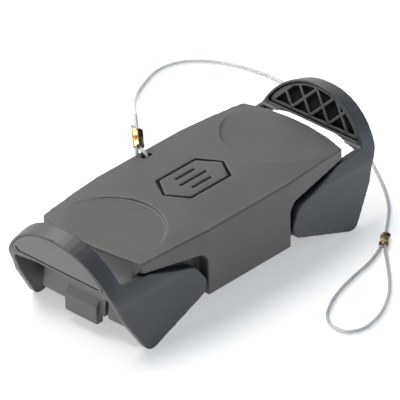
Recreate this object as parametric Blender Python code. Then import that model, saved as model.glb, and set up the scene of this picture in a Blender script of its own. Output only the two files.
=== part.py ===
"""Protective cover for a rectangular industrial connector.

A moulded cover with two U-shaped locking levers, one at each end, and a lanyard of thin
coated wire with two crimped brass ferrules.  Metres, +Z up.  The origin is the middle of
the object's footprint, at the height of the lever corners that it stands on.  +X runs
along the cover; the lanyard leaves it on the +Y side.
"""

import math

import bmesh
import bpy
from mathutils import Matrix, Vector

MM = 0.001

# ---- Cover: overall sizes -----------------------------------------------------------
PLATE_Z = 34.75 * MM         # height of the long top edges above the base
PLATE_HALF = 54.0 * MM       # middle of the cover to the top's corners, along X: drives the length
END_BOW = 3.5 * MM           # how far the top's short edges bulge beyond the corners
MID_HALF_W = 28.3 * MM       # half width over the middle skirts: drives the width
END_HALF_W = MID_HALF_W - 2.9 * MM   # half width at the top's corners
SKIRT_HALF = PLATE_HALF - 31.8 * MM  # half length of the full-depth middle skirts
CORNER_R = 1.6 * MM
FOOT_BOW = 0.4 * MM          # the same bulge of the end walls at the rim
CROWN = 1.1 * MM             # rise of the top from its long edges to its middle line
END_DROP = 1.0 * MM          # how far the top falls from the middle to the short edges
SKIRT_DEPTH = 27.7 * MM      # long top edges down to the rim
LIP_DEPTH = 9.6 * MM         # depth of the side lips next to the middle skirts
LIP_END_DEPTH = 4.9 * MM     # the same at the top's corners
LIP_BEND_R = 5.0 * MM        # bend from the lip's lower edge into the skirt's side

# ---- Cover: walls, cavity and details ------------------------------------------------
ROOF = 3.4 * MM
WALL = 2.1 * MM
SIDE_OUT = MID_HALF_W - 5.1 * MM     # outer face of the side walls that the levers lie on
END_FOOT = PLATE_HALF + 4.5 * MM     # outer face of the end walls at the rim
LUG_HALF_W = 8.0 * MM
LUG_OUT = 2.4 * MM
LUG_HEIGHT = 7.2 * MM
LUG_RAMP = 3.1 * MM
LUG_BELOW = 3.3 * MM         # how far the lug reaches below the rim
RELIEF_W = 1.5 * MM          # slot beside the lug
RELIEF_H = 8.5 * MM
RELIEF_OFF = 3.0 * MM        # lug's side to the slot's middle
SCOOP_R = 22.5 * MM
SCOOP_X = PLATE_HALF - 7.0 * MM
SCOOP_DEPTH = 1.0 * MM
SLOT_X = 0.9 * MM            # lanyard slot through the top
SLOT_LEN = 4.6 * MM
SLOT_W = 2.2 * MM
SLOT_EDGE = 2.4 * MM         # solid bar between the slot and the skirt's outer face
SIDE_EYE_Z = 3.6 * MM        # long top edge down to the middle of the eye in the skirt

# ---- Seal and emblem ------------------------------------------------------------------
SEAL_HALF_X = PLATE_HALF - 4.4 * MM
SEAL_HALF_Y = SIDE_OUT - WALL - 1.9 * MM
SEAL_BAND = 3.4 * MM
SEAL_THICK = 2.2 * MM
EMBLEM_HALF_X = 16.5 * MM    # plain engraved emblem: a hexagon round three bars
EMBLEM_HALF_Y = 9.2 * MM
EMBLEM_POINT = 5.5 * MM      # length of the hexagon's pointed ends along X
EMBLEM_LINE = 1.1 * MM
EMBLEM_DEPTH = 0.6 * MM
BAR_HALF = 7.5 * MM
BAR_PITCH = 4.2 * MM

# ---- Levers ---------------------------------------------------------------------------
PIVOT_X = PLATE_HALF - 21.0 * MM
PIVOT_Z = PLATE_Z - 19.0 * MM
PIN_R = 2.5 * MM
CHEEK_T = 3.0 * MM
CHEEK_OUT = SIDE_OUT + CHEEK_T + 2.0 * MM   # outer face of the cheeks at the pivot
SPLAY = 0.13                 # how far the cheeks lean out, per unit of drop
NOSE_REACH = 10.1 * MM       # cheek's round nose, from the pivot towards the middle
HEEL_DROP = 16.6 * MM        # pivot down to the cheek's lowest corner
PIN_SKIN = 1.1 * MM          # cheek left outside the blind pivot bore
ARCH_R = CHEEK_OUT
ARCH_TOP = 11.0 * MM         # arch crown above the long top edges, at the handle's inner face
ARCH_FALL = 2.1 * MM         # how much lower the crown is at its outer face
HANDLE_IN = PLATE_HALF + 10.4 * MM   # inner face of the handle at its lower edge
HANDLE_T = 7.2 * MM
HANDLE_LEAN = math.radians(12.0)
WINDOW_TOP = 6.8 * MM        # long top edges down to the handle's outer lower edge
WINDOW_RISE = 2.4 * MM       # how much higher the inner lower edge is
WINDOW_HALF = CHEEK_OUT - 4.0 * MM   # half width of the opening below the handle, at its top
PEG_SLOT_W = 6.4 * MM        # hook groove inside each cheek, for a housing's peg
PEG_SLOT_D = 1.8 * MM
PEG_ARC_R = 13.5 * MM

# ---- Grip plates ----------------------------------------------------------------------
GRIP_HALF = CHEEK_OUT - 5.2 * MM
GRIP_H = 13.6 * MM
GRIP_BASE = 3.3 * MM         # handle's lower edge up to the grip plate
GRIP_SKIN = 1.8 * MM
GRIP_RIM = 1.1 * MM
RIB_W = 1.2 * MM
RIB_PITCH = 9.3 * MM
RIB_SHIFT = 2.2 * MM         # the lattice's middle foot, off the plate's middle
RIB_TILTS = (math.radians(-35.0), math.radians(43.5))

# ---- Lanyard --------------------------------------------------------------------------
CORD_D = 1.5 * MM
FERRULE_LEN = 7.7 * MM
FERRULE_W = 4.0 * MM
FERRULE_T = 2.6 * MM
CRIMP = 0.28                 # how far the end ferrule's waist is pinched, as a share
WIRE_APART = 0.85 * MM       # half the distance between two wires side by side in a ferrule

GAP = 0.3 * MM
ENDS = (("left", -1.0), ("right", 1.0))

# Free lanyard: from the anchor ferrule, down to the base plane behind the cover, round
# its +X end and back along the front.  Millimetres from the origin.
LIE = 0.85                   # height of the cord's centre where it lies on the base plane, in mm
CORD_ROUTE = [
    (6.3, 34.9, 39.6),
    (8.4, 37.3, 41.0),
    (12.2, 41.2, 40.7),
    (17.4, 46.5, 37.1),
    (21.4, 50.5, 33.6),
    (28.6, 57.6, 27.9),
    (39.1, 68.0, 19.6),
    (50.2, 79.0, 11.1),
    (61.7, 90.0, 4.0),
    (72.0, 98.2, 1.0),
    (81.4, 102.4, LIE),
    (89.2, 104.4, LIE),
    (96.4, 103.7, LIE),
    (102.8, 100.1, LIE),
    (107.8, 94.5, LIE),
    (111.4, 87.6, LIE),
    (113.9, 79.2, LIE),
    (115.2, 66.5, LIE),
    (114.2, 48.0, LIE),
    (110.2, 29.0, LIE),
    (102.6, 10.0, LIE),
    (92.4, -6.6, LIE),
    (83.0, -20.4, LIE),
    (74.3, -30.4, LIE),
    (65.2, -37.8, LIE),
    (59.1, -42.4, 1.3),
]
# End loop: out of the end ferrule and back into it, flat on the base plane.
LOOP_ROUTE = [
    (51.9, -46.5, 1.3),
    (48.6, -48.0, LIE),
    (40.4, -50.9, LIE),
    (30.5, -52.7, LIE),
    (19.6, -55.4, LIE),
    (11.2, -58.7, LIE),
    (3.8, -63.2, LIE),
    (-0.4, -69.2, LIE),
    (0.2, -75.6, LIE),
    (5.6, -79.0, LIE),
    (15.5, -77.8, LIE),
    (25.7, -73.0, LIE),
    (34.5, -66.4, LIE),
    (44.1, -56.9, LIE),
    (50.4, -50.2, LIE),
    (52.9, -47.9, 1.3),
]

# ---- Materials --------------------------------------------------------------------------


def material(name, colour, roughness, metallic=0.0):
    mat = bpy.data.materials.new(name)
    mat.use_nodes = True
    shader = mat.node_tree.nodes["Principled BSDF"]
    shader.inputs["Base Color"].default_value = (*colour, 1.0)
    shader.inputs["Roughness"].default_value = roughness
    shader.inputs["Metallic"].default_value = metallic
    return mat


def clear_scene():
    for obj in list(bpy.data.objects):
        bpy.data.objects.remove(obj, do_unlink=True)


# ---- Outlines and solids ------------------------------------------------------------------


def arc(cx, cy, radius, start, end, steps):
    """Points on a circle from angle start to angle end, in degrees, both ends included."""
    out = []
    for i in range(steps + 1):
        angle = math.radians(start + (end - start) * i / steps)
        out.append((cx + radius * math.cos(angle), cy + radius * math.sin(angle)))
    return out


def rounded(corners, steps=5):
    """Outline through (x, y, radius) corners, each rounded by a tangent arc."""
    out = []
    count = len(corners)
    for i, (x, y, radius) in enumerate(corners):
        here = Vector((x, y))
        back = Vector(corners[i - 1][:2]) - here
        ahead = Vector(corners[(i + 1) % count][:2]) - here
        if radius <= 0.0:
            out.append((x, y))
            continue
        half = back.angle(ahead) / 2
        reach = min(radius / math.tan(half), back.length * 0.49, ahead.length * 0.49)
        radius = reach * math.tan(half)
        centre = here + (back.normalized() + ahead.normalized()).normalized() * (
            radius / math.sin(half)
        )
        first = here + back.normalized() * reach - centre
        last = here + ahead.normalized() * reach - centre
        turn = first.angle_signed(last)
        for k in range(steps + 1):
            spoke = first.copy()
            spoke.rotate(Matrix.Rotation(-turn * k / steps, 2))
            out.append(tuple(centre + spoke))
    return out


def solid(name, mesh, mat=None, cutter=False):
    obj = bpy.data.objects.new(name, mesh)
    bpy.context.collection.objects.link(obj)
    if mat is not None:
        mesh.materials.append(mat)
    if cutter:
        obj.hide_render = True
        obj.display_type = "WIRE"
    return obj


def mesh_from(verts, faces, name):
    bm = bmesh.new()
    made = [bm.verts.new(v) for v in verts]
    for face in faces:
        bm.faces.new([made[i] for i in face])
    bmesh.ops.recalc_face_normals(bm, faces=bm.faces)
    mesh = bpy.data.meshes.new(name)
    bm.to_mesh(mesh)
    bm.free()
    return mesh


def loft(name, rings, mat=None, cutter=False):
    """Closed solid through rings of equally many 3-D points, capped at both ends."""
    count = len(rings[0])
    verts = [p for ring in rings for p in ring]
    faces = [list(range(count)), [len(verts) - count + i for i in range(count)]]
    for level in range(len(rings) - 1):
        low = level * count
        for i in range(count):
            j = (i + 1) % count
            faces.append([low + i, low + j, low + count + j, low + count + i])
    return solid(name, mesh_from(verts, faces, name), mat, cutter)


def prism(name, outline, axis, low, high, mat=None, cutter=False):
    """Outline extruded along an axis; its two coordinates follow X, Y, Z order."""

    def place(point, depth):
        spot = list(point)
        spot.insert("XYZ".index(axis), depth)
        return spot

    rings = [[place(p, depth) for p in outline] for depth in (low, high)]
    return loft(name, rings, mat, cutter)


def box(name, low, high, cutter=True):
    outline = [(low[0], low[1]), (high[0], low[1]), (high[0], high[1]), (low[0], high[1])]
    return prism(name, outline, "Z", low[2], high[2], cutter=cutter)


def combine(target, other, operation="DIFFERENCE"):
    other.hide_render = True
    other.display_type = "WIRE"
    step = target.modifiers.new(other.name, "BOOLEAN")
    step.operation = operation
    step.solver = "EXACT"
    step.object = other


def smooth(obj, degrees=30.0):
    obj.data.shade_smooth()
    obj.data.set_sharp_from_angle(angle=math.radians(degrees))


# ---- Cover ----------------------------------------------------------------------------------


def plan_outline(half_len, half_mid, half_end, bow, radius):
    """Plan of the cover: parallel in the middle, tapering outwards, with bowed ends."""
    bend = SKIRT_HALF
    quarter = [
        (bend, -half_mid, 12 * MM),
        (half_len, -half_end, radius),
        (half_len + bow * 0.62, -half_end * 0.62, 14 * MM),
        (half_len + bow, -half_end * 0.2, 14 * MM),
    ]
    right = quarter + [(x, -y, r) for x, y, r in reversed(quarter)]
    left = [(-x, -y, r) for x, y, r in right]
    return rounded(right + left, 3)


def top_height(x, y):
    """Height of the crowned top at a place in plan."""
    across = 1.0 - min(1.0, abs(y) / MID_HALF_W) ** 2
    along = max(0.0, (abs(x) - SKIRT_HALF) / (PLATE_HALF - SKIRT_HALF))
    return PLATE_Z + CROWN * across - END_DROP * along**2


def crowned_block(name):
    """Tall block whose upper face is the crowned top, wider than the cover all round."""
    steps_x, steps_y = 20, 10
    half_x, half_y = PLATE_HALF + 8 * MM, MID_HALF_W + 4 * MM
    floor = PLATE_Z - LIP_DEPTH - LIP_BEND_R - SKIRT_DEPTH
    bm = bmesh.new()
    bmesh.ops.create_grid(bm, x_segments=steps_x, y_segments=steps_y, size=1.0)
    for vert in bm.verts:
        x, y = vert.co.x * half_x, vert.co.y * half_y
        vert.co = Vector((x, y, top_height(x, y)))
    rim = [edge for edge in bm.edges if edge.is_boundary]
    walls = bmesh.ops.extrude_edge_only(bm, edges=rim)["geom"]
    lower = [g for g in walls if isinstance(g, bmesh.types.BMVert)]
    for vert in lower:
        vert.co.z = floor
    bmesh.ops.contextual_create(bm, geom=[e for e in bm.edges if e.is_boundary])
    bmesh.ops.recalc_face_normals(bm, faces=bm.faces)
    mesh = bpy.data.meshes.new(name)
    bm.to_mesh(mesh)
    bm.free()
    return solid(name, mesh, cutter=True)


def lip_outline(side, reach):
    """XZ outline of what is cut away below a side lip, from the skirt's side outwards."""
    inner = SKIRT_HALF
    corners = [
        (inner, PLATE_Z - SKIRT_DEPTH - 20 * MM, 0.0),
        (inner, PLATE_Z - LIP_DEPTH, LIP_BEND_R),
        (PLATE_HALF, PLATE_Z - LIP_END_DEPTH, 0.0),
        (reach, PLATE_Z - LIP_END_DEPTH + 0.6 * MM, 0.0),
        (reach, PLATE_Z - SKIRT_DEPTH - 20 * MM, 0.0),
    ]
    return rounded([(side * x, z, r) for x, z, r in corners], 6)


def wall_ring(half_end, bow, half_y, z, radius):
    corners = [
        (half_end, -half_y, radius),
        (half_end + bow, -half_y * 0.3, 12 * MM),
        (half_end + bow, half_y * 0.3, 12 * MM),
        (half_end, half_y, radius),
    ]
    corners += [(-x, -y, r) for x, y, r in corners]
    return [(x, y, z) for x, y in rounded(corners, 3)]


def end_wall_x(z):
    """Outer face of an end wall's middle at a height."""
    share = (PLATE_Z - z) / SKIRT_DEPTH
    top = PLATE_HALF + END_BOW
    return top + (END_FOOT + FOOT_BOW - top) * share


def make_cover(mat):
    rim_z = PLATE_Z - SKIRT_DEPTH
    outline = plan_outline(PLATE_HALF, MID_HALF_W, END_HALF_W, END_BOW, CORNER_R)
    cover = prism("cover_shell", outline, "Z", rim_z, PLATE_Z + 5 * MM, mat)
    combine(cover, crowned_block("cover_top_shape"), "INTERSECT")
    for name, side in ENDS:
        for face, facing in (("near", -1.0), ("far", 1.0)):
            low, high = sorted((facing * SIDE_OUT, facing * (MID_HALF_W + 9 * MM)))
            cut = lip_outline(side, PLATE_HALF + 12 * MM)
            combine(cover, prism(f"recess_{name}_{face}", cut, "Y", low, high, cutter=True))
    top_in = PLATE_Z - LIP_END_DEPTH + 1.5 * MM
    tub = loft(
        "end_walls",
        [
            wall_ring(END_FOOT, FOOT_BOW, SIDE_OUT, rim_z, 2.5 * MM),
            wall_ring(PLATE_HALF + 0.6 * MM, 2.6 * MM, SIDE_OUT, top_in, 2.5 * MM),
        ],
        cutter=True,
    )
    combine(cover, tub, "UNION")
    for name, side in ENDS:
        combine(cover, lug(name, side), "UNION")
    cavity = loft(
        "cavity",
        [
            wall_ring(END_FOOT - WALL, FOOT_BOW, SIDE_OUT - WALL, rim_z - 5 * MM, 1.5 * MM),
            wall_ring(
                PLATE_HALF + 0.4 * MM - WALL, 2.0 * MM, SIDE_OUT - WALL, PLATE_Z - ROOF, 1.5 * MM
            ),
        ],
        cutter=True,
    )
    combine(cover, cavity)
    bay = (SKIRT_HALF - WALL, MID_HALF_W - WALL)
    combine(
        cover,
        box("middle_bay", (-bay[0], -bay[1], rim_z - 5 * MM), (*bay, PLATE_Z - ROOF)),
    )
    for name, side in ENDS:
        combine(cover, scoop(name, side))
        combine(cover, relief(name, side))
        for face, facing in (("near", -1.0), ("far", 1.0)):
            combine(cover, pin_bore(f"pin_hole_{name}_{face}", side, facing, PIN_R + GAP))
    for cut in (*emblem_cuts(), *lanyard_slots()):
        combine(cover, cut)
    smooth(cover)
    return cover


def lug(name, side):
    """Catch on an end wall, with a ramp above its flat front."""
    rim_z = PLATE_Z - SKIRT_DEPTH
    low = rim_z - LUG_BELOW
    front = END_FOOT + LUG_OUT
    back = END_FOOT - WALL * 0.6
    corners = [
        (back, low, 0.0),
        (front, low, 0.4 * MM),
        (front, low + LUG_HEIGHT, 0.4 * MM),
        (end_wall_x(low + LUG_HEIGHT + LUG_RAMP), low + LUG_HEIGHT + LUG_RAMP, 0.0),
        (back, low + LUG_HEIGHT + LUG_RAMP, 0.0),
    ]
    outline = rounded([(side * x, z, r) for x, z, r in corners], 2)
    return prism(f"lug_{name}", outline, "Y", -LUG_HALF_W, LUG_HALF_W, cutter=True)


def relief(name, side):
    """Slot through the end wall beside the lug, on the side away from the lanyard's end."""
    rim_z = PLATE_Z - SKIRT_DEPTH
    middle = side * (LUG_HALF_W + RELIEF_OFF)
    near, far = sorted((side * (END_FOOT - 2 * WALL), side * (END_FOOT + LUG_OUT)))
    return box(
        f"relief_{name}",
        (near, middle - RELIEF_W / 2, rim_z - 5 * MM),
        (far, middle + RELIEF_W / 2, rim_z + RELIEF_H),
    )


def scoop(name, side):
    """Thumb scoop: a round cut whose floor fades out towards the cover's end."""
    apex = SCOOP_X - SCOOP_R
    deep = top_height(apex, 0.0) - SCOOP_DEPTH
    fade = top_height(PLATE_HALF + END_BOW, 0.0) - 0.05 * MM
    slope = (fade - deep) / (PLATE_HALF + END_BOW - apex)
    ring = arc(side * SCOOP_X, 0.0, SCOOP_R, 0.0, 352.5, 47)
    low = [(x, y, deep + slope * (abs(x) - apex)) for x, y in ring]
    high = [(x, y, PLATE_Z + 8 * MM) for x, y in ring]
    return loft(f"scoop_{name}", [low, high], cutter=True)


def pin_bore(name, side, facing, radius):
    ring = arc(side * PIVOT_X, PIVOT_Z, radius, 0.0, 345.0, 23)
    low, high = sorted((facing * (SIDE_OUT - 2 * WALL), facing * (SIDE_OUT + 0.5 * MM)))
    return prism(name, ring, "Y", low, high, cutter=True)


def hexagon(shrink):
    x, y = EMBLEM_HALF_X - shrink * 1.2, EMBLEM_HALF_Y - shrink
    tip = x - EMBLEM_POINT
    return [(x, 0.0), (tip, y), (-tip, y), (-x, 0.0), (-tip, -y), (tip, -y)]


def emblem_cuts():
    """Cutters of the emblem's grooves: a hexagonal ring and three bars inside it."""
    low, high = PLATE_Z + CROWN - EMBLEM_DEPTH, PLATE_Z + 8 * MM
    ring = prism("emblem_ring", hexagon(0.0), "Z", low, high, cutter=True)
    inner = prism("emblem_island", hexagon(EMBLEM_LINE), "Z", low - MM, high + MM, cutter=True)
    combine(ring, inner)
    cuts = [ring]
    for index in (-1, 0, 1):
        y = index * BAR_PITCH
        half = BAR_HALF - abs(index) * 2 * MM
        low_xy = (-half, y - EMBLEM_LINE / 2, low)
        cuts.append(box(f"emblem_bar_{index + 1}", low_xy, (half, y + EMBLEM_LINE / 2, high)))
    return cuts


def lanyard_slots():
    """Slot down through the top, and an eye through the skirt just below its edge."""
    outer = MID_HALF_W - SLOT_EDGE
    x_low, x_high = SLOT_X - SLOT_LEN / 2, SLOT_X + SLOT_LEN / 2
    through = box(
        "lanyard_slot",
        (x_low, outer - SLOT_W, PLATE_Z - ROOF - 3 * MM),
        (x_high, outer, PLATE_Z + 5 * MM),
    )
    eye_z = PLATE_Z - SIDE_EYE_Z
    eye = box(
        "lanyard_eye",
        (x_low, outer - SLOT_W, eye_z - SLOT_W / 2),
        (x_high, MID_HALF_W + 3 * MM, eye_z + SLOT_W / 2),
    )
    return through, eye


def make_seal(mat):
    top = PLATE_Z - ROOF - GAP
    rings = []
    for name, shrink in (("rim_seal", 0.0), ("seal_hole", SEAL_BAND)):
        x, y = SEAL_HALF_X - shrink, SEAL_HALF_Y - shrink
        r = 5.0 * MM - shrink * 0.7
        outline = rounded([(-x, -y, r), (x, -y, r), (x, y, r), (-x, y, r)], 5)
        extra = 0.0 if shrink == 0.0 else 2 * MM
        rings.append(
            prism(name, outline, "Z", top - SEAL_THICK - extra, top + extra, mat, shrink > 0.0)
        )
    combine(rings[0], rings[1])
    return rings[0]


# ---- Levers -----------------------------------------------------------------------------------


def handle_line(z, offset=0.0):
    """X of the handle's inner face at a height, moved outwards by an offset."""
    low = PLATE_Z - WINDOW_TOP
    return HANDLE_IN + (z - low) * math.tan(HANDLE_LEAN) + offset / math.cos(HANDLE_LEAN)


def side_outline():
    """XZ outline of a lever: cheek with a round nose, swept up into the handle."""
    crown = PLATE_Z + ARCH_TOP
    foot = PLATE_Z - WINDOW_TOP
    corners = [
        (handle_line(foot + 1.6 * MM), foot + 1.6 * MM, 1.5 * MM),
        (PLATE_HALF - 3.0 * MM, PLATE_Z - 6.0 * MM, 12 * MM),
        (PIVOT_X - 5.4 * MM, PIVOT_Z + 5.8 * MM, 5.5 * MM),
        (PIVOT_X - NOSE_REACH, PIVOT_Z - 1.8 * MM, 5.0 * MM),
        (PIVOT_X - 8.0 * MM, PIVOT_Z - 6.0 * MM, 3.5 * MM),
        (PLATE_HALF + 1.8 * MM, PIVOT_Z - HEEL_DROP, 4.2 * MM),
        (PLATE_HALF + 12.3 * MM, PIVOT_Z, 20 * MM),
        (handle_line(foot, HANDLE_T), foot, 14 * MM),
        (handle_line(crown, HANDLE_T), crown - 0.8 * MM, 2.2 * MM),
        (handle_line(crown), crown, 1.0 * MM),
    ]
    return rounded(corners, 4)


def cheek_face(z, inset=0.0):
    """|Y| of a cheek's outer face at a height, or of a face inset from it."""
    return CHEEK_OUT + SPLAY * (PIVOT_Z - z) - inset


def arch_outline(fall=0.0):
    """YZ outline over the outside of a lever: splayed legs under a round arch."""
    centre = PLATE_Z + ARCH_TOP - fall - ARCH_R
    low = -5 * MM
    join = 12.0
    edge = arc(0.0, centre, ARCH_R, join, 180.0 - join, 26)
    y, z = edge[0]
    leg = min(z, PIVOT_Z + 6 * MM)
    right = [(cheek_face(low), low), (cheek_face(leg), leg)]
    left = [(-a, b) for a, b in reversed(right)]
    return right + edge + left


def window_outline(rise=0.0):
    """YZ outline of the opening between the cheeks, with a shallow arched top."""
    low = -8 * MM
    top = PLATE_Z - WINDOW_TOP + rise
    shoulder = top - 10 * MM
    corners = [
        (cheek_face(low, CHEEK_T), low, 0.0),
        (cheek_face(shoulder, CHEEK_T), shoulder, 14 * MM),
        (WINDOW_HALF, top - 2.4 * MM, 3.0 * MM),
        (WINDOW_HALF * 0.5, top, 22 * MM),
    ]
    return rounded(corners + [(-y, z, r) for y, z, r in reversed(corners)], 4)


def cheek_bay(name, side):
    """Clears the whole height between the cheeks, up to just short of the handle."""
    low, high = PLATE_Z - WINDOW_TOP - 10 * MM, PLATE_Z + 4 * MM
    outline = [
        (-cheek_face(low, CHEEK_T), low),
        (cheek_face(low, CHEEK_T), low),
        (cheek_face(high, CHEEK_T), high),
        (-cheek_face(high, CHEEK_T), high),
    ]
    reach = sorted((side * 10 * MM, side * (HANDLE_IN - 0.8 * MM)))
    return prism(f"cheek_bay_{name}", outline, "X", *reach, cutter=True)


def handle_frame(side):
    """Matrix whose X is across (+Y), Y up along the handle and Z out through its back."""
    foot_z = PLATE_Z - WINDOW_TOP
    up = Vector((side * math.sin(HANDLE_LEAN), 0.0, math.cos(HANDLE_LEAN)))
    out = Vector((side * math.cos(HANDLE_LEAN), 0.0, -math.sin(HANDLE_LEAN)))
    across = up.cross(out)
    turn = Matrix((across, up, out)).transposed().to_4x4()
    return Matrix.Translation((side * HANDLE_IN, 0.0, foot_z)) @ turn


def grip_outline(shrink=0.0):
    """D shape: a straight lower edge under an arc, drawn in the handle's own plane."""
    radius = (GRIP_HALF**2 + GRIP_H**2) / (2 * GRIP_H) - shrink
    centre = GRIP_BASE + GRIP_H - radius - shrink
    base = GRIP_BASE + shrink
    start = math.degrees(math.asin(max(-1.0, min(1.0, (base - centre) / radius))))
    curve = arc(0.0, centre, radius, start + 4.0, 176.0 - start, 18)
    return [(curve[0][0], base), *curve, (curve[-1][0], base)]


def in_handle(name, side, outline, low, high, mat=None, cutter=True):
    piece = prism(name, outline, "Z", low, high, mat, cutter)
    piece.data.transform(handle_frame(side))
    return piece


def through(name, side, start, inner, outer):
    """Cutter along X whose YZ outline changes from inner to outer across the handle."""
    beyond = 20 * MM
    stations = [(start - 50 * MM, inner), (start, inner)]
    stations += [(start + HANDLE_T, outer), (start + HANDLE_T + beyond, outer)]
    rings = [[(side * x, y, z) for y, z in outline] for x, outline in stations]
    return loft(name, rings, cutter=True)


def make_lever(name, side, mat):
    """U-shaped lever: side outline, trimmed by the arch and opened between its cheeks."""
    outline = [(side * x, z) for x, z in side_outline()]
    wide = MID_HALF_W + 12 * MM
    lever = prism(f"lever_{name}", outline, "Y", -wide, wide, mat)
    crown_x = handle_line(PLATE_Z + ARCH_TOP)
    arch = through(f"lever_arch_{name}", side, crown_x, arch_outline(), arch_outline(ARCH_FALL))
    combine(lever, arch, "INTERSECT")
    inner, outer = window_outline(WINDOW_RISE), window_outline()
    combine(lever, through(f"lever_window_{name}", side, HANDLE_IN, inner, outer))
    combine(lever, cheek_bay(name, side))
    opening = in_handle(f"grip_seat_{name}", side, grip_outline(-GAP), -5 * MM, HANDLE_T + 5 * MM)
    combine(lever, opening)
    for face, facing in (("near", -1.0), ("far", 1.0)):
        tag = f"{name}_{face}"
        inner = cheek_face(PIVOT_Z, CHEEK_T) - 2 * MM
        ring = arc(side * PIVOT_X, PIVOT_Z, PIN_R + GAP, 0.0, 345.0, 23)
        low, high = sorted((facing * inner, facing * (CHEEK_OUT - PIN_SKIN)))
        combine(lever, prism(f"pivot_bore_{tag}", ring, "Y", low, high, cutter=True))
        combine(lever, peg_groove(tag, side, facing))
    smooth(lever)
    pivot = bpy.data.objects.new(f"pivot_{name}", None)
    bpy.context.collection.objects.link(pivot)
    pivot.location = (side * PIVOT_X, 0.0, PIVOT_Z)
    carry(lever, pivot)
    return pivot


def carry(obj, pivot):
    """Parent a piece to its pivot without moving it."""
    obj.parent = pivot
    obj.matrix_parent_inverse = Matrix.Translation(pivot.location).inverted()


def peg_groove(tag, side, facing):
    """Hook groove inside a cheek: in from the lower edge, then round the pivot."""
    half = PEG_SLOT_W / 2
    outer = arc(PIVOT_X, PIVOT_Z, PEG_ARC_R + half, -70.0, -10.0, 8)
    inner = arc(PIVOT_X, PIVOT_Z, PEG_ARC_R - half, -10.0, -70.0, 8)
    x, z = outer[0]
    mouth = [(inner[-1][0] - 2 * MM, z - 14 * MM), (x, z - 14 * MM)]
    points = [(side * px, pz) for px, pz in outer + inner + mouth]
    deep = [facing * (cheek_face(pz, CHEEK_T) + PEG_SLOT_D) for _, pz in points]
    near = [(px, facing * (SIDE_OUT - 2 * MM), pz) for px, pz in points]
    far = [(px, y, pz) for (px, pz), y in zip(points, deep)]
    return loft(f"peg_groove_{tag}", [near, far], cutter=True)


def rib(name, side, foot, tilt):
    """One diagonal bar of the grip's lattice, from a foot on its lower edge."""
    length = GRIP_H * 2.4
    half = RIB_W / 2
    corners = [(-half, -length * 0.2), (half, -length * 0.2), (half, length), (-half, length)]
    turn = Matrix.Rotation(tilt, 2)
    outline = [tuple(turn @ Vector(c) + Vector((foot, GRIP_BASE + GRIP_RIM))) for c in corners]
    return in_handle(name, side, outline, -9 * MM, HANDLE_T + 5 * MM)


def make_grip(name, side, mat):
    """D-shaped plate that closes the handle, with a diagonal lattice on its inner side."""
    inner, outer = 0.7 * MM, HANDLE_T - 0.5 * MM
    grip = in_handle(f"grip_{name}", side, grip_outline(), inner, outer, mat, cutter=False)
    pockets = in_handle(
        f"grip_pockets_{name}", side, grip_outline(GRIP_RIM), inner - 3 * MM, outer - GRIP_SKIN
    )
    for index in range(-2, 3):
        foot = index * RIB_PITCH + RIB_SHIFT
        for lean, tilt in zip("ab", RIB_TILTS):
            if index == math.copysign(2, -tilt):
                continue  # the end ribs lean inwards only
            combine(pockets, rib(f"rib_{name}_{index + 2}{lean}", side, foot, tilt))
    combine(grip, pockets)
    return grip


def make_pin(name, side, facing, mat):
    ring = arc(side * PIVOT_X, PIVOT_Z, PIN_R, 0.0, 345.0, 23)
    inner = SIDE_OUT - WALL
    low, high = sorted((facing * inner, facing * (CHEEK_OUT - PIN_SKIN - GAP)))
    pin = prism(name, ring, "Y", low, high, mat)
    smooth(pin)
    return pin


# ---- Lanyard ------------------------------------------------------------------------------------


def smooth_path(route, spacing):
    """Evenly spaced points on a centripetal curve through a hand-laid route."""
    points = [Vector(p) * MM for p in route]
    ends = [2 * points[0] - points[1], *points, 2 * points[-1] - points[-2]]
    fine = []
    for p0, p1, p2, p3 in zip(ends, ends[1:], ends[2:], ends[3:]):
        t1 = (p1 - p0).length ** 0.5
        t2 = t1 + (p2 - p1).length ** 0.5
        t3 = t2 + (p3 - p2).length ** 0.5
        for step in range(24):
            t = t1 + (t2 - t1) * step / 24
            a1 = p0 * ((t1 - t) / t1) + p1 * (t / t1)
            a2 = p1 * ((t2 - t) / (t2 - t1)) + p2 * ((t - t1) / (t2 - t1))
            a3 = p2 * ((t3 - t) / (t3 - t2)) + p3 * ((t - t2) / (t3 - t2))
            b1 = a1 * ((t2 - t) / t2) + a2 * (t / t2)
            b2 = a2 * ((t3 - t) / (t3 - t1)) + a3 * ((t - t1) / (t3 - t1))
            fine.append(b1 * ((t2 - t) / (t2 - t1)) + b2 * ((t - t1) / (t2 - t1)))
    fine.append(points[-1])
    total = sum((b - a).length for a, b in zip(fine, fine[1:]))
    count = max(2, round(total / spacing))
    out, walked, goal = [fine[0]], 0.0, total / count
    for a, b in zip(fine, fine[1:]):
        step = (b - a).length
        while walked + step >= goal * len(out) - 1e-9 and len(out) < count:
            out.append(a.lerp(b, (goal * len(out) - walked) / step))
        walked += step
    out.append(fine[-1])
    return out


def tube(name, path, mat):
    curve = bpy.data.curves.new(name, "CURVE")
    curve.dimensions = "3D"
    curve.bevel_depth = CORD_D / 2
    curve.bevel_resolution = 2
    curve.use_fill_caps = True
    spline = curve.splines.new("POLY")
    spline.points.add(len(path) - 1)
    for point, spot in zip(spline.points, path):
        point.co = (*spot, 1.0)
    curve.materials.append(mat)
    obj = bpy.data.objects.new(name, curve)
    bpy.context.collection.objects.link(obj)
    return obj


def ferrule_place(start, end):
    """Matrix at the middle between two points, Z along them and X level."""
    along = (end - start).normalized()
    level = Vector((0.0, 0.0, 1.0)).cross(along).normalized()
    up = along.cross(level)
    turn = Matrix((level, up, along)).transposed().to_4x4()
    return Matrix.Translation((start + end) / 2) @ turn


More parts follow.
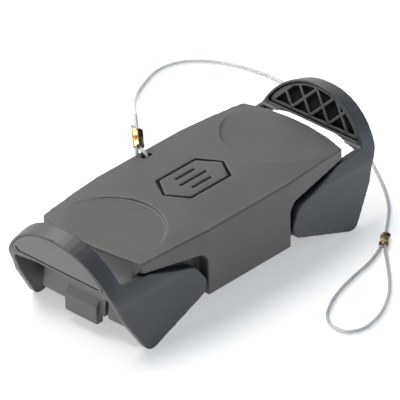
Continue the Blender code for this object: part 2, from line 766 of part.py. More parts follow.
def make_ferrule(name, place, waist, mat):
    """Crimped oval sleeve, solid, with a waist where the tool has pressed it."""
    rings = []
    steps = 8
    for i in range(steps + 1):
        along = i / steps - 0.5
        pinch = 1.0 - waist * math.cos(math.pi * along) ** 4
        if i in (0, steps):
            pinch -= 0.07
        ring = []
        for k in range(16):
            angle = 2 * math.pi * k / 16
            ring.append(
                place
                @ Vector(
                    (
                        FERRULE_W / 2 * pinch * math.cos(angle),
                        FERRULE_T / 2 * pinch * math.sin(angle),
                        along * FERRULE_LEN,
                    )
                )
            )
        rings.append(ring)
    ferrule = loft(name, rings, mat)
    smooth(ferrule, 40.0)
    return ferrule


def make_lanyard(cord_mat, brass):
    route = smooth_path(CORD_ROUTE, 5.0 * MM)
    loop = smooth_path(LOOP_ROUTE, 3.6 * MM)
    spare = FERRULE_LEN / 2 + GAP
    lead = (Vector(CORD_ROUTE[1]) - Vector(CORD_ROUTE[0])).normalized()
    anchor = route[0] - lead * spare
    make_ferrule(
        "anchor_ferrule", ferrule_place(anchor - lead * MM, anchor + lead * MM), 0.0, brass
    )
    mid = (loop[0] + loop[-1]) / 2
    tail = (mid - route[-1]).normalized()
    centre = route[-1] + tail * spare
    make_ferrule(
        "end_ferrule", ferrule_place(centre - tail * MM, centre + tail * MM), CRIMP, brass
    )
    tube("lanyard_cord", route, cord_mat)
    tube("end_loop", loop, cord_mat)
    tube("anchor_loop", smooth_path(anchor_route(anchor - lead * spare, lead), 1.1 * MM), cord_mat)


def anchor_route(mouth, lead):
    """Loop through the slot and the eye, both ends meeting the anchor ferrule's mouth."""
    outer = MID_HALF_W - SLOT_EDGE
    slot_y = outer - SLOT_W / 2
    eye_z = PLATE_Z - SIDE_EYE_Z
    outside = MID_HALF_W + CORD_D / 2
    beside = Vector((0.0, 0.0, 1.0)).cross(lead).normalized() * WIRE_APART
    points = [
        mouth - beside,
        mouth - beside - lead * MM,
        Vector((SLOT_X + 0.2 * MM, outer + 0.2 * MM, PLATE_Z + 1.2 * MM)),
        Vector((SLOT_X, slot_y + 0.35 * MM, PLATE_Z + 0.8 * MM)),
        Vector((SLOT_X, slot_y - 0.05 * MM, PLATE_Z - 0.2 * MM)),
        Vector((SLOT_X, slot_y, eye_z + 1.4 * MM)),
        Vector((SLOT_X, slot_y + 0.6 * MM, eye_z + 0.2 * MM)),
        Vector((SLOT_X, outer + MM, eye_z)),
        Vector((SLOT_X, MID_HALF_W, eye_z)),
        Vector((SLOT_X - 0.1 * MM, outside + 0.15 * MM, eye_z + 0.8 * MM)),
        Vector((SLOT_X - 0.3 * MM, outside + 0.3 * MM, eye_z + 2.0 * MM)),
        Vector((SLOT_X - 0.5 * MM, outside + 0.4 * MM, PLATE_Z - 0.2 * MM)),
        mouth + beside - lead * 0.9 * MM,
        mouth + beside,
    ]
    return [tuple(p / MM) for p in points]


# ---- Build -----------------------------------------------------------------------------------------


def main():
    clear_scene()
    shell_grey = material("shell_grey", (0.15, 0.15, 0.15), 0.55)
    lever_grey = material("lever_grey", (0.12, 0.13, 0.15), 0.5)
    grip_grey = material("grip_grey", (0.17, 0.18, 0.18), 0.55)
    seal_black = material("seal_black", (0.02, 0.02, 0.02), 0.8)
    pin_steel = material("pin_steel", (0.6, 0.6, 0.6), 0.3, 1.0)
    coated_wire = material("coated_wire", (0.7, 0.72, 0.73), 0.25)
    brass = material("brass", (0.6, 0.42, 0.2), 0.3, 1.0)

    make_cover(shell_grey)
    make_seal(seal_black)
    for name, side in ENDS:
        pivot = make_lever(name, side, lever_grey)
        carry(make_grip(name, side, grip_grey), pivot)
        for face, facing in (("near", -1.0), ("far", 1.0)):
            make_pin(f"pivot_pin_{name}_{face}", side, facing, pin_steel)
    make_lanyard(coated_wire, brass)


main()
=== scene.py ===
"""Looks of the connector protective cover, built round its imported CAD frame.

Metres, in the frame's own axes: +X along the cover, +Y towards the lanyard's side, +Z up.
The mouldings are softened copies of their CAD nodes with the details of the real surfaces,
the lanyard is wire in a clear sheath, and the ferrules are crimped brass.
"""

import math

import bmesh
import bpy
from mathutils import Matrix, Vector


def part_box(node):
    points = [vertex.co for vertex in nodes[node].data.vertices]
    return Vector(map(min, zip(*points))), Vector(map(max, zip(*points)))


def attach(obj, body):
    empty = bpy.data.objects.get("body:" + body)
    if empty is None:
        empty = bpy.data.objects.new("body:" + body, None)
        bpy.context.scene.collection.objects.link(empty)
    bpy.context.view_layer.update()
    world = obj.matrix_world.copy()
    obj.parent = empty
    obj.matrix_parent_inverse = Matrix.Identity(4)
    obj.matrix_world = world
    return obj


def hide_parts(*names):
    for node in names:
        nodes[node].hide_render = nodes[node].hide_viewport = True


MM = 0.001

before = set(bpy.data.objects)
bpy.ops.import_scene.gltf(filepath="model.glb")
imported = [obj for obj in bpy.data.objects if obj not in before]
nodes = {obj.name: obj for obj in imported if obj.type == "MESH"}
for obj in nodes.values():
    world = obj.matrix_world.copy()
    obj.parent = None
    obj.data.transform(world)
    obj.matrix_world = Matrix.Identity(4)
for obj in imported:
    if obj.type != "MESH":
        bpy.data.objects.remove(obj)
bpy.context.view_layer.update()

# ---- Places, from the frame and from the part's own sizes --------------------------------
shell_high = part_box("cover_shell")[1]
CROWN = 1.1 * MM
PLATE_Z = shell_high[2] - CROWN      # height of the top's long edges
EDGE_Y = shell_high[1]               # the middle skirt's outer face, on the lanyard's side
HANDLE_IN = 64.4 * MM                # the handle's inner face at its lower edge
HANDLE_T = 7.2 * MM
HANDLE_LEAN = math.radians(12.0)
HANDLE_FOOT = PLATE_Z - 6.8 * MM
GRIP_HALF = 23.0 * MM
GRIP_H = 13.6 * MM
GRIP_BASE = 3.3 * MM                 # the handle's lower edge up to the grip plate
SIDES = (("left", -1.0), ("right", 1.0))

# ---- Camera ----------------------------------------------------------------------------
VIEW_AZIMUTH = math.radians(-46.17)
VIEW_HEIGHT = math.radians(31.89)
VIEW_ROLL = math.radians(-1.02)
VIEW_DISTANCE = 2.335
VIEW_RIGHT = 2.38 * MM               # the view's middle, from the middle of the cover's top
VIEW_DOWN = 7.32 * MM
LENS = 568.6                         # for a 36 mm sensor

# ---- Surfaces --------------------------------------------------------------------------
COVER_GREY = (0.094, 0.091, 0.088)
LEVER_GREY = (0.062, 0.065, 0.070)
# painted light: lighter than the lever's grey so the lattice ribs and the plain face read as lit
GRIP_LIT_GREY = (0.098, 0.098, 0.099)
# painted shade: near-black for the bottoms of grooves and pockets
PAINTED_SHADE_BLACK = (0.012, 0.011, 0.013)
SHEATH = (0.82, 0.83, 0.84)
STEEL = (0.62, 0.62, 0.60)
BRASS = (0.62, 0.42, 0.20)
TARNISH = (0.10, 0.055, 0.025)

# ---- Lanyard: the frame's route, in millimetres -----------------------------------------
CORD_D = 1.5 * MM
CORE_D = 0.7 * MM                    # the steel strand inside the sheath
WIRE_APART = 0.85 * MM               # half the distance between two wires in a ferrule
ANCHOR_SLOT_X = 0.9 * MM             # where the anchor loop goes through the cover
ANCHOR_SLOT_Y = EDGE_Y - 3.5 * MM
ANCHOR_EYE_Z = PLATE_Z - 3.6 * MM
TAIL_LEN = 2.4 * MM                  # cut end of the wire, out of the anchor ferrule
FERRULE_LEN = 7.7 * MM
FERRULE_W = 4.0 * MM
FERRULE_T = 2.6 * MM
FERRULE_BORE = 0.80                  # mouth's width, as a share of the sleeve's
MOUTH_DEPTH = 0.4 * MM
# Stations along each ferrule, from 0 to 1, and the sleeve's width there
PLAIN_BARREL = [(0.0, 1.05), (0.06, 1.12), (0.35, 1.09), (0.7, 1.12), (0.94, 1.12), (1.0, 1.05)]
CRIMPED_BARREL = [
    (0.0, 0.88),
    (0.06, 0.95),
    (0.22, 0.98),
    (0.31, 0.92),
    (0.38, 0.80),
    (0.50, 0.82),
    (0.75, 0.95),
    (0.94, 1.02),
    (1.0, 0.96),
]
LIE = 0.85                           # the cord's centre where it lies on the floor
CORD_ROUTE = [
    (6.3, 34.9, 39.6),
    (8.4, 37.3, 41.0),
    (12.2, 41.2, 40.7),
    (17.4, 46.5, 37.1),
    (21.4, 50.5, 33.6),
    (28.6, 57.6, 27.9),
    (39.1, 68.0, 19.6),
    (50.2, 79.0, 11.1),
    (61.7, 90.0, 4.0),
    (72.0, 98.2, 1.0),
    (81.4, 102.4, LIE),
    (89.2, 104.4, LIE),
    (96.4, 103.7, LIE),
    (102.8, 100.1, LIE),
    (107.8, 94.5, LIE),
    (111.4, 87.6, LIE),
    (113.9, 79.2, LIE),
    (115.2, 66.5, LIE),
    (114.2, 48.0, LIE),
    (110.2, 29.0, LIE),
    (102.6, 10.0, LIE),
    (92.4, -6.6, LIE),
    (83.0, -20.4, LIE),
    (74.3, -30.4, LIE),
    (65.2, -37.8, LIE),
    (59.1, -42.4, 1.3),
]
LOOP_ROUTE = [
    (51.9, -46.5, 1.3),
    (48.6, -48.0, LIE),
    (40.4, -50.9, LIE),
    (30.5, -52.7, LIE),
    (19.6, -55.4, LIE),
    (11.2, -58.7, LIE),
    (3.8, -63.2, LIE),
    (-0.4, -69.2, LIE),
    (0.2, -75.6, LIE),
    (5.6, -79.0, LIE),
    (15.5, -77.8, LIE),
    (25.7, -73.0, LIE),
    (34.5, -66.4, LIE),
    (44.1, -56.9, LIE),
    (50.4, -50.2, LIE),
    (52.9, -47.9, 1.3),
]


def add_camera():
    right = Vector((math.cos(VIEW_AZIMUTH), math.sin(VIEW_AZIMUTH), 0.0))
    back = Vector((
        math.sin(VIEW_AZIMUTH) * math.cos(VIEW_HEIGHT),
        -math.cos(VIEW_AZIMUTH) * math.cos(VIEW_HEIGHT),
        math.sin(VIEW_HEIGHT),
    ))
    right = Matrix.Rotation(VIEW_ROLL, 3, back) @ right
    up = back.cross(right)
    data = bpy.data.cameras.new("camera")
    data.lens = LENS
    data.sensor_width = 36.0
    camera = bpy.data.objects.new("camera", data)
    bpy.context.collection.objects.link(camera)
    middle = Vector((0.0, 0.0, PLATE_Z)) + right * VIEW_RIGHT - up * VIEW_DOWN
    place = Matrix((right, up, back)).transposed().to_4x4()
    place.translation = middle + back * VIEW_DISTANCE
    camera.matrix_world = place
    bpy.context.scene.camera = camera


# ---- Materials ----------------------------------------------------------------------------


def new_material(name, colour, roughness, metallic=0.0):
    mat = bpy.data.materials.new(name)
    mat.use_nodes = True
    shader = mat.node_tree.nodes["Principled BSDF"]
    shader.inputs["Base Color"].default_value = (*colour, 1.0)
    shader.inputs["Roughness"].default_value = roughness
    shader.inputs["Metallic"].default_value = metallic
    return mat, shader, mat.node_tree


def noise(tree, scale, detail=3.0):
    """Noise in object space; scale is in grains per millimetre."""
    place = tree.nodes.new("ShaderNodeTexCoord")
    grain = tree.nodes.new("ShaderNodeTexNoise")
    grain.inputs["Scale"].default_value = scale / MM
    grain.inputs["Detail"].default_value = detail
    tree.links.new(place.outputs["Object"], grain.inputs["Vector"])
    return grain.outputs["Fac"]


def ramp(tree, value, low, high, a, b):
    """Colour from a to b while value goes from low to high."""
    node = tree.nodes.new("ShaderNodeValToRGB")
    node.color_ramp.elements[0].position = low
    node.color_ramp.elements[0].color = (*a, 1.0)
    node.color_ramp.elements[1].position = high
    node.color_ramp.elements[1].color = (*b, 1.0)
    tree.links.new(value, node.inputs["Fac"])
    return node.outputs["Color"]


def spread(tree, value, low, high, to_low, to_high):
    node = tree.nodes.new("ShaderNodeMapRange")
    node.inputs["From Min"].default_value = low
    node.inputs["From Max"].default_value = high
    node.inputs["To Min"].default_value = to_low
    node.inputs["To Max"].default_value = to_high
    tree.links.new(value, node.inputs["Value"])
    return node.outputs["Result"]


def multiply(tree, a, b, share=1.0):
    node = tree.nodes.new("ShaderNodeMix")
    node.data_type = "RGBA"
    node.blend_type = "MULTIPLY"
    node.inputs["Factor"].default_value = share
    tree.links.new(a, node.inputs["A"])
    tree.links.new(b, node.inputs["B"])
    return node.outputs["Result"]


def bump(tree, shader, height, distance, strength=1.0):
    node = tree.nodes.new("ShaderNodeBump")
    node.inputs["Distance"].default_value = distance
    node.inputs["Strength"].default_value = strength
    tree.links.new(height, node.inputs["Height"])
    tree.links.new(node.outputs["Normal"], shader.inputs["Normal"])


def moulded_plastic(name, grey, shade_reach=5.0):
    """Matte thermoplastic: spark-eroded grain, faint flow marks, and painted shade that darkens the
    recesses by ambient occlusion.
    """
    mat, shader, tree = new_material(name, grey, 0.45)
    flow = noise(tree, 0.035, 4.0)
    grain = noise(tree, 2.2, 2.0)
    low = tuple(c * 0.90 for c in grey)
    high = tuple(c * 1.10 for c in grey)
    colour = ramp(tree, flow, 0.35, 0.65, low, high)
    speck = ramp(tree, grain, 0.30, 0.70, (0.93, 0.93, 0.93), (1.0, 1.0, 1.0))
    colour = multiply(tree, colour, speck)
    # painted shade: ambient occlusion darkens the base colour in recesses and between parts
    painted_shade = tree.nodes.new("ShaderNodeAmbientOcclusion")
    painted_shade.inputs["Distance"].default_value = shade_reach * MM
    painted_shade.samples = 8
    shade = ramp(tree, painted_shade.outputs["AO"], 0.30, 0.85, (0.22, 0.22, 0.24), (1.0, 1.0, 1.0))
    colour = multiply(tree, colour, shade)
    tree.links.new(colour, shader.inputs["Base Color"])
    tree.links.new(spread(tree, flow, 0.3, 0.7, 0.40, 0.50), shader.inputs["Roughness"])
    bump(tree, shader, grain, 0.03 * MM, 0.6)
    return mat


def painted_shade_material():
    """Painted shade: near-black for the bottoms of narrow grooves and pockets, which hardly any
    light reaches.
    """
    mat, shader, _tree = new_material("painted_shade_black", PAINTED_SHADE_BLACK, 0.9)
    shader.inputs["Specular IOR Level"].default_value = 0.1
    return mat


def clear_sheath():
    mat, shader, _tree = new_material("clear_sheath", SHEATH, 0.18)
    shader.inputs["Transmission Weight"].default_value = 0.75
    shader.inputs["IOR"].default_value = 1.45
    return mat


def steel_strand():
    """Strand of fine wires: bright, with fine uneven ridges."""
    mat, shader, tree = new_material("steel_strand", STEEL, 0.4, 0.4)
    colour = ramp(tree, noise(tree, 1.6), 0.35, 0.65, (0.66, 0.66, 0.65), (0.9, 0.9, 0.9))
    tree.links.new(colour, shader.inputs["Base Color"])
    bump(tree, shader, noise(tree, 3.0), 0.05 * MM)
    return mat


def crimped_brass():
    mat, shader, tree = new_material("crimped_brass", BRASS, 0.32, 1.0)
    tarnish = noise(tree, 0.40, 3.0)
    tree.links.new(ramp(tree, tarnish, 0.42, 0.60, BRASS, TARNISH), shader.inputs["Base Color"])
    tree.links.new(spread(tree, tarnish, 0.35, 0.7, 0.16, 0.40), shader.inputs["Roughness"])
    bump(tree, shader, noise(tree, 1.2), 0.08 * MM, 0.6)
    return mat


def seal_rubber():
    mat, shader, tree = new_material("seal_rubber", (0.02, 0.02, 0.021), 0.7)
    bump(tree, shader, noise(tree, 1.5), 0.03 * MM, 0.5)
    return mat


def turned_steel():
    mat, shader, tree = new_material("turned_steel", STEEL, 0.35, 1.0)
    bump(tree, shader, noise(tree, 4.0), 0.02 * MM, 0.4)
    return mat


# ---- Lanyard --------------------------------------------------------------------------------


def smooth_path(points, step=1.5):
    """Points every few millimetres on one smooth curve through the given ones, in metres."""
    knots = [Vector(p) for p in points]
    knots = [knots[0] * 2 - knots[1]] + knots + [knots[-1] * 2 - knots[-2]]
    out = []
    for a, b, c, d in zip(knots, knots[1:], knots[2:], knots[3:]):
        count = max(2, round((c - b).length / step))
        for k in range(count):
            t = k / count
            out.append(0.5 * (
                2 * b + (c - a) * t + (2 * a - 5 * b + 4 * c - d) * t**2
                + (3 * b - a - 3 * c + d) * t**3
            ))
    out.append(knots[-2])
    return [p * MM for p in out]


def tube_along(name, path, diameter, mat):
    data = bpy.data.curves.new(name, "CURVE")
    data.dimensions = "3D"
    data.bevel_depth = diameter / 2
    data.bevel_resolution = 5
    data.use_fill_caps = True
    spline = data.splines.new("POLY")
    spline.points.add(len(path) - 1)
    for point, place in zip(spline.points, path):
        point.co = (*place, 1.0)
    data.materials.append(mat)
    piece = bpy.data.objects.new(name, data)
    bpy.context.collection.objects.link(piece)
    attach(piece, "cover")
    return piece


def free_cord(name, route, node):
    path = smooth_path(route)
    sheath = tube_along(name, path, CORD_D, MATS["sheath"])
    core = tube_along(f"{name}_core", path, CORE_D, MATS["strand"])
    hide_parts(node)


def middle_of(node):
    low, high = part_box(node)
    return (Vector(low) + Vector(high)) / 2


def barrel_width(profile, along):
    """Width of a ferrule at a share of its length, eased between the profile's stations."""
    for (a, wide_a), (b, wide_b) in zip(profile, profile[1:]):
        if along <= b:
            t = (along - a) / (b - a)
            return wide_a + (wide_b - wide_a) * t * t * (3.0 - 2.0 * t)
    return profile[-1][1]


def make_ferrule(name, node, towards, profile):
    """Oval brass sleeve with open ends, crimped to the profile; its wires run through it."""
    centre = middle_of(node)
    along = (towards - centre).normalized()
    level = Vector((0.0, 0.0, 1.0)).cross(along).normalized()
    up = along.cross(level)
    steps, around = 40, 48
    stations = [(i / steps, barrel_width(profile, i / steps), 0.0) for i in range(steps + 1)]
    first = profile[0][1] * FERRULE_BORE
    last = profile[-1][1] * FERRULE_BORE
    stations = [
        (0.0, first, MOUTH_DEPTH),
        (0.0, first, 0.0),
        *stations,
        (1.0, last, 0.0),
        (1.0, last, -MOUTH_DEPTH),
    ]
    bm = bmesh.new()
    rings = []
    for share, wide, shift in stations:
        spot = centre + along * ((share - 0.5) * FERRULE_LEN + shift)
        ring = []
        for k in range(around):
            angle = math.tau * k / around
            ring.append(bm.verts.new(
                spot + level * (FERRULE_W / 2 * wide * math.cos(angle))
                + up * (FERRULE_T / 2 * min(wide, 1.0) * math.sin(angle))
            ))
        rings.append(ring)
    for low, high in zip(rings, rings[1:]):
        for k in range(around):
            j = (k + 1) % around
            bm.faces.new((low[k], low[j], high[j], high[k]))
    bm.faces.new(reversed(rings[0]))
    bm.faces.new(rings[-1])
    bmesh.ops.recalc_face_normals(bm, faces=bm.faces)
    mesh = bpy.data.meshes.new(name)
    bm.to_mesh(mesh)
    bm.free()
    mesh.materials.append(MATS["brass"])
    piece = bpy.data.objects.new(name, mesh)
    bpy.context.collection.objects.link(piece)
    mesh.shade_smooth()
    mesh.set_sharp_from_angle(angle=math.radians(40.0))
    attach(piece, "cover")
    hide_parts(node)
    return piece, centre, along


def wire(name, points, node=None):
    """A short length of the sheathed wire, held at both ends."""
    path = smooth_path([p / MM for p in points], 0.8)
    sheath = tube_along(name, path, CORD_D, MATS["sheath"])
    tube_along(f"{name}_core", path, CORE_D, MATS["strand"])
    if node:
        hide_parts(node)


def make_anchor():
    """Anchor ferrule, the loop through the cover's slot and edge, and the wire's cut tail."""
    start = Vector(CORD_ROUTE[0]) * MM
    centre, lead = make_ferrule("anchor_sleeve", "anchor_ferrule", start, PLAIN_BARREL)[1:]
    mouth = centre - lead * (FERRULE_LEN / 2 + 0.2 * MM)
    beside = Vector((0.0, 0.0, 1.0)).cross(lead).normalized() * WIRE_APART
    x, y, eye = ANCHOR_SLOT_X, ANCHOR_SLOT_Y, ANCHOR_EYE_Z
    side = EDGE_Y + CORD_D / 2
    wire("anchor_wire", [
        mouth - beside + lead * MM,
        mouth - beside - lead * MM,
        Vector((x + 0.2 * MM, y + 1.3 * MM, PLATE_Z + 1.2 * MM)),
        Vector((x, y + 0.35 * MM, PLATE_Z + 0.8 * MM)),
        Vector((x, y - 0.05 * MM, PLATE_Z - 0.2 * MM)),
        Vector((x, y, eye + 1.4 * MM)),
        Vector((x, y + 0.6 * MM, eye + 0.2 * MM)),
        Vector((x, y + 2.1 * MM, eye)),
        Vector((x, y + 3.5 * MM, eye)),
        Vector((x - 0.1 * MM, side + 0.15 * MM, eye + 0.8 * MM)),
        Vector((x - 0.3 * MM, side + 0.3 * MM, eye + 2.0 * MM)),
        Vector((x - 0.5 * MM, side + 0.4 * MM, PLATE_Z - 0.2 * MM)),
        mouth + beside - lead * 0.9 * MM,
        mouth + beside + lead * MM,
    ], "anchor_loop")
    tail = centre + lead * (FERRULE_LEN / 2 - 0.3 * MM) + beside * 1.5
    tip = tail + lead * TAIL_LEN + beside * 0.5
    wire("anchor_wire_tail", [tail, tail + lead * MM, tip])


# ---- Solids and softening ---------------------------------------------------------------------


def arc(cx, cy, radius, start, end, steps):
    """Points on a circle from angle start to angle end, in degrees, both ends included."""
    out = []
    for i in range(steps + 1):
        angle = math.radians(start + (end - start) * i / steps)
        out.append((cx + radius * math.cos(angle), cy + radius * math.sin(angle)))
    return out


def extrude(name, outline, low, high):
    """Closed solid from an XY outline, between two heights."""
    bm = bmesh.new()
    foot = bm.faces.new([bm.verts.new((x, y, low)) for x, y in outline])
    top = bmesh.ops.extrude_face_region(bm, geom=[foot])["geom"]
    for vert in (g for g in top if isinstance(g, bmesh.types.BMVert)):
        vert.co.z = high
    bmesh.ops.recalc_face_normals(bm, faces=bm.faces)
    mesh = bpy.data.meshes.new(name)
    bm.to_mesh(mesh)
    bm.free()
    piece = bpy.data.objects.new(name, mesh)
    bpy.context.collection.objects.link(piece)
    return piece


def copy_of(name, node):
    """A copy of a CAD node as one closed skin."""
    mesh = nodes[node].data.copy()
    mesh.name = name
    bm = bmesh.new()
    bm.from_mesh(mesh)
    bmesh.ops.remove_doubles(bm, verts=bm.verts, dist=0.001 * MM)
    bm.to_mesh(mesh)
    bm.free()
    mesh.materials.clear()
    piece = bpy.data.objects.new(name, mesh)
    bpy.context.collection.objects.link(piece)
    return piece


def settle(piece):
    """Applies a piece's modifiers to its mesh."""
    view = bpy.context.evaluated_depsgraph_get()
    mesh = bpy.data.meshes.new_from_object(piece.evaluated_get(view))
    old = piece.data
    piece.modifiers.clear()
    piece.data = mesh
    bpy.data.meshes.remove(old)


def combine(piece, other, operation="DIFFERENCE"):
    """Adds or cuts another solid, which is used up."""
    step = piece.modifiers.new(operation, "BOOLEAN")
    step.operation = operation
    step.solver = "EXACT"
    step.object = other
    settle(piece)
    bpy.data.objects.remove(other, do_unlink=True)


def soften(piece, voxel, passes):
    """Rounds every edge as a moulding's are, by a fine remesh and a little smoothing."""
    remesh = piece.modifiers.new("remesh", "REMESH")
    remesh.mode = "VOXEL"
    remesh.voxel_size = voxel
    melt = piece.modifiers.new("melt", "SMOOTH")
    melt.factor = 0.5
    melt.iterations = passes
    settle(piece)


def relax(piece, inside, passes):
    """Smooths the stretch of a dense mesh that inside(point) weights from 0 to 1."""
    group = piece.vertex_groups.new(name="relax")
    for vert in piece.data.vertices:
        weight = inside(vert.co)
        if weight > 0.0:
            group.add([vert.index], weight, "REPLACE")
    melt = piece.modifiers.new("relax", "SMOOTH")
    melt.factor = 0.5
    melt.iterations = passes
    melt.vertex_group = group.name
    settle(piece)
    piece.vertex_groups.clear()


def thin_out(piece, ratio):
    lighter = piece.modifiers.new("lighter", "DECIMATE")
    lighter.ratio = ratio
    settle(piece)


def finish_piece(piece, body, slot, mat, *replaced):
    piece.data.materials.clear()
    piece.data.materials.append(mat)
    piece.data.shade_smooth()
    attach(piece, body)
    if replaced:
        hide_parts(*replaced)
    return piece


# ---- Cover --------------------------------------------------------------------------------------

EMBLEM_HALF_X = 16.5 * MM
EMBLEM_HALF_Y = 9.2 * MM
EMBLEM_POINT = 5.5 * MM
EMBLEM_LINE = 1.1 * MM
EMBLEM_FLOOR = PLATE_Z + 0.84 * MM   # upper face of the near-black floor in the engraved grooves
EMBLEM_T = 0.4 * MM
BAR_HALF = 7.5 * MM
BAR_PITCH = 4.2 * MM
BAR_STEP = 2.0 * MM                  # how much shorter the outer bars are, at each end
COVER_VOXEL = 0.38 * MM              # remesh sizes, which set how round the edges come out
LEVER_VOXEL = 0.30 * MM
GRIP_VOXEL = 0.22 * MM


def make_cover():
    cover = copy_of("cover_moulding", "cover_shell")
    soften(cover, COVER_VOXEL, 3)
    thin_out(cover, 0.4)
    finish_piece(cover, "cover", "cover_plastic", MATS["cover"], "cover_shell")


def hexagon(shrink):
    """Outline of the emblem, shrunk evenly: its pointed ends move in a little further."""
    x, y = EMBLEM_HALF_X - shrink * 1.2, EMBLEM_HALF_Y - shrink
    tip = x - EMBLEM_POINT
    return [(x, 0.0), (tip, y), (-tip, y), (-x, 0.0), (-tip, -y), (tip, -y)]


def make_emblem():
    """Near-black floor of the engraved emblem, a hexagon round three bars, darkened with the
    painted-shade material.
    """
    low = EMBLEM_FLOOR - EMBLEM_T
    ring = extrude("emblem_ring", hexagon(0.0), low, EMBLEM_FLOOR)
    island = extrude("emblem_island", hexagon(EMBLEM_LINE), low - MM, EMBLEM_FLOOR + MM)
    combine(ring, island)
    finish_piece(ring, "cover", "cover_plastic", MATS["painted_shade"])
    for index in (-1, 0, 1):
        half = BAR_HALF - abs(index) * BAR_STEP
        y = index * BAR_PITCH
        wide = EMBLEM_LINE / 2
        outline = [(-half, y - wide), (half, y - wide), (half, y + wide), (-half, y + wide)]
        bar = extrude(f"emblem_bar_{index + 2}", outline, low, EMBLEM_FLOOR)
        finish_piece(bar, "cover", "cover_plastic", MATS["painted_shade"])


# ---- Levers -------------------------------------------------------------------------------------

GROOVE_W = 0.9 * MM                  # the groove along the grip plate's lower edge, outside, darkened by a near-black floor as painted shade
GROOVE_DEEP = 2.2 * MM
GROOVE_END = 2.4 * MM                # hook at the line's end
POCKET_FLOOR = 2.3 * MM              # painted shade: near-black floor behind the lattice
FLOOR_HALF = 0.3 * MM                # half its thickness
FACE_T = 1.9 * MM                    # the plain face over the grip plate's outer side
FACE_PROUD = 0.1 * MM
GRIP_RIM = 1.1 * MM                  # rim round the lattice
CHEEK_FACE = 26.4 * MM               # beyond this |Y| there are only the cheeks' outer faces
SPLAY_START = PLATE_Z - 13.0 * MM    # where the cheeks begin to lean out
SPLAY_BLEND = 6.0 * MM               # how far the turn is eased, up and down


def handle_frame(side):
    """Matrix whose X is across, Y up along the handle and Z out through its back."""
    up = Vector((side * math.sin(HANDLE_LEAN), 0.0, math.cos(HANDLE_LEAN)))
    out = Vector((side * math.cos(HANDLE_LEAN), 0.0, -math.sin(HANDLE_LEAN)))
    turn = Matrix((up.cross(out), up, out)).transposed().to_4x4()
    return Matrix.Translation((side * HANDLE_IN, 0.0, HANDLE_FOOT)) @ turn


def grip_outline(shrink=0.0):
    """D shape of the grip plate, in the handle's own plane."""
    radius = (GRIP_HALF**2 + GRIP_H**2) / (2 * GRIP_H) - shrink
    centre = GRIP_BASE + GRIP_H - radius - shrink
    base = GRIP_BASE + shrink
    start = math.degrees(math.asin((base - centre) / radius))
    curve = arc(0.0, centre, radius, start + 4.0, 176.0 - start, 48)
    return [(curve[0][0], base), *curve, (curve[-1][0], base)]


def in_handle(name, side, outline, low, high):
    piece = extrude(name, outline, low, high)
    piece.data.transform(handle_frame(side))
    return piece


def groove_outline():
    """The line along the grip plate's lower edge, hooked up at one end."""
    y = GRIP_BASE - 0.2 * MM
    half = GROOVE_W / 2
    end = GRIP_HALF - 2.0 * MM
    hook = arc(-end + GROOVE_END, y + GROOVE_END, GROOVE_END + half, 265.0, 190.0, 8)
    back = arc(-end + GROOVE_END, y + GROOVE_END, GROOVE_END - half, 190.0, 265.0, 8)
    return [(end, y - half), *hook, *back, (end, y + half)]


def make_lever(name, side):
    """One lever and its grip plate: lattice inside, a plain face with one line outside."""
    body = f"{name}_lever"
    deep = HANDLE_T - GROOVE_DEEP
    lever = copy_of(f"lever_moulding_{name}", f"lever_{name}")
    grip = copy_of(f"grip_plate_{name}", f"grip_{name}")
    outline = grip_outline(-0.25 * MM)
    face = in_handle("face", side, outline, HANDLE_T - FACE_T, HANDLE_T + FACE_PROUD)
    combine(grip, face, "UNION")
    combine(grip, in_handle("groove", side, groove_outline(), deep, HANDLE_T + 4 * MM))
    soften(grip, GRIP_VOXEL, 2)
    thin_out(grip, 0.3)
    finish_piece(grip, body, "lever_plastic", MATS["grip"], f"grip_{name}")
    # near-black floors paint the shade at the bottoms of the groove and of the lattice's pockets
    floors = (
        (f"groove_painted_shade_{name}", groove_outline(), deep - 0.3 * MM, deep + 0.5 * MM),
        (f"pocket_painted_shade_{name}", grip_outline(GRIP_RIM), POCKET_FLOOR - FLOOR_HALF,
         POCKET_FLOOR + FLOOR_HALF),
    )
    for title, outline, low, high in floors:
        floor = in_handle(title, side, outline, low, high)
        finish_piece(floor, body, "lever_plastic", MATS["painted_shade"])
    soften(lever, LEVER_VOXEL, 3)
    relax(lever, cheek_weight, 60)
    thin_out(lever, 0.4)
    finish_piece(lever, body, "lever_plastic", MATS["lever"], f"lever_{name}")


def cheek_weight(point):
    """Where a cheek's outer face turns from upright to leaning: 1 on the turn, 0 beyond."""
    if abs(point.y) < CHEEK_FACE:
        return 0.0
    away = abs(point.z - SPLAY_START) / SPLAY_BLEND
    return max(0.0, 1.0 - away * away)


# ---- Floor and light ----------------------------------------------------------------------------


def add_floor():
    bpy.ops.mesh.primitive_plane_add(size=6.0, location=(0.0, 0.0, -0.0002))
    floor = bpy.context.object
    floor.name = "floor"
    mat, shader, _tree = new_material("pale_floor", (0.93, 0.93, 0.93), 0.9)
    shader.inputs["Emission Color"].default_value = (1.0, 1.0, 1.0, 1.0)
    shader.inputs["Emission Strength"].default_value = 0.40
    floor.data.materials.append(mat)


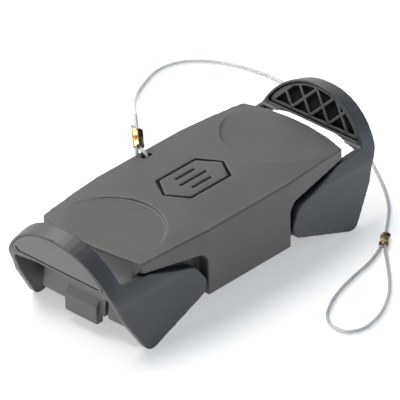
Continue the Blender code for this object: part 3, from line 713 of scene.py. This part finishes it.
def add_light(name, place, size, power, colour=(1.0, 1.0, 1.0)):
    data = bpy.data.lights.new(name, "AREA")
    data.shape = "DISK"
    data.size = size
    data.energy = power
    data.color = colour
    light = bpy.data.objects.new(name, data)
    bpy.context.collection.objects.link(light)
    light.location = place
    light.rotation_euler = (-Vector(place)).to_track_quat("-Z", "Y").to_euler()


def add_world():
    world = bpy.data.worlds.new("studio")
    bpy.context.scene.world = world
    world.use_nodes = True
    tree = world.node_tree
    place = tree.nodes.new("ShaderNodeTexCoord")
    split = tree.nodes.new("ShaderNodeSeparateXYZ")
    tree.links.new(place.outputs["Generated"], split.inputs["Vector"])
    walls = ramp(tree, split.outputs["Z"], 0.58, 0.80, (1.08, 1.09, 1.10), (0.14, 0.15, 0.16))
    front = ramp(tree, split.outputs["Y"], 0.25, 0.60, (0.24, 0.30, 0.36), (1.0, 1.0, 1.0))
    walls = multiply(tree, walls, front)
    tree.links.new(walls, tree.nodes["Background"].inputs["Color"])


# ---- Everything -----------------------------------------------------------------------------------

add_camera()
MATS = {
    "cover": moulded_plastic("cover_plastic", COVER_GREY),
    "lever": moulded_plastic("lever_plastic", LEVER_GREY),
    # grip plate: lighter grey as painted light, with painted shade of short reach
    "grip": moulded_plastic("grip_plastic", GRIP_LIT_GREY, 2.0),
    "painted_shade": painted_shade_material(),
    "sheath": clear_sheath(),
    "strand": steel_strand(),
    "brass": crimped_brass(),
    "rubber": seal_rubber(),
    "steel": turned_steel(),
}
towards = Vector(CORD_ROUTE[-1]) * MM
end_sleeve = make_ferrule("end_sleeve", "end_ferrule", towards, CRIMPED_BARREL)[0]
free_cord("lanyard_wire", CORD_ROUTE, "lanyard_cord")
free_cord("lanyard_end_loop", LOOP_ROUTE, "end_loop")
make_anchor()
make_cover()
make_emblem()
for name, side in SIDES:
    make_lever(name, side)
for name, node in nodes.items():
    if name == "rim_seal" or name.startswith("pivot_pin"):
        node.data.materials.clear()
        node.data.materials.append(MATS["rubber" if name == "rim_seal" else "steel"])
add_floor()
add_world()
add_light("key", (-0.05, 0.50, 0.90), 0.8, 9.8, (1.0, 0.965, 0.925))
add_light("left", (-1.0, 0.10, 0.10), 0.3, 3.7)
add_light("front", (0.24, -0.24, 0.10), 0.12, 0.13, (0.66, 0.82, 1.0))
bpy.context.scene.view_settings.view_transform = "Standard"
